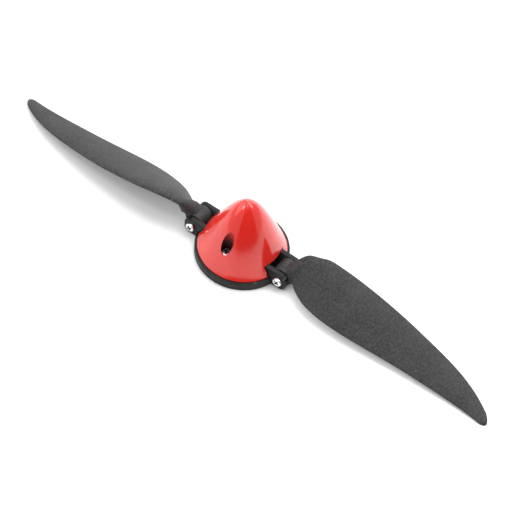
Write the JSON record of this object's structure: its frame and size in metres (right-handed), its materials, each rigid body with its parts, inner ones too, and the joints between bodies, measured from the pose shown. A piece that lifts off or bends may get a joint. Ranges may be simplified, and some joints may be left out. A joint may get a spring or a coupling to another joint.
{
  "type": "folding propeller with spinner",
  "caption": "Folding aircraft propeller: hinged twisted blades on a lugged hub with a round rim, under a cone spinner, driven by a split collet.",
  "frame": {"origin": "centre of the yoke's flat rear face, on the spin axis, where the motor shaft enters", "axes": "+Z along the spin axis towards the spinner's nose; the two blades lie along +X and -X; the hinge screws run along Y with their heads at -Y"},
  "size_m": [0.247, 0.04, 0.0334],
  "materials": {
    "red_gloss": "glossy moulded red plastic",
    "black_moulded": "satin black glass-filled plastic",
    "blade_composite": "matt charcoal fibre-filled plastic with a fine moulded grain",
    "screw_steel": "bright nickel-plated steel",
    "nylon": "natural nylon",
    "turned_aluminium": "turned aluminium"
  },
  "bodies": {
    "hub": {"yoke_backplate": "black_moulded", "spinner_cone": "red_gloss", "hinge_screw_right": "screw_steel", "hinge_screw_left": "screw_steel", "hinge_nut_right": "screw_steel", "hinge_nut_left": "screw_steel", "nut_insert_right": "nylon", "nut_insert_left": "nylon", "spinner_screw_front": "screw_steel", "spinner_screw_back": "screw_steel", "collet_spindle": "turned_aluminium", "clamp_collar": "turned_aluminium", "spindle_washer": "screw_steel", "spindle_nut": "screw_steel"},
    "right_blade": {"blade_right": "blade_composite"},
    "left_blade": {"blade_left": "blade_composite"}
  },
  "joints": [
    {"name": "right_blade_fold", "type": "hinge", "parent": "hub", "child": "right_blade", "pos_m": [0.02225, 0, 0.00505], "axis": [0, 1, 0], "range_deg": [-7, 88]},
    {"name": "left_blade_fold", "type": "hinge", "parent": "hub", "child": "left_blade", "pos_m": [-0.02225, 0, 0.00505], "axis": [0, -1, 0], "range_deg": [-7, 88]}
  ]
}
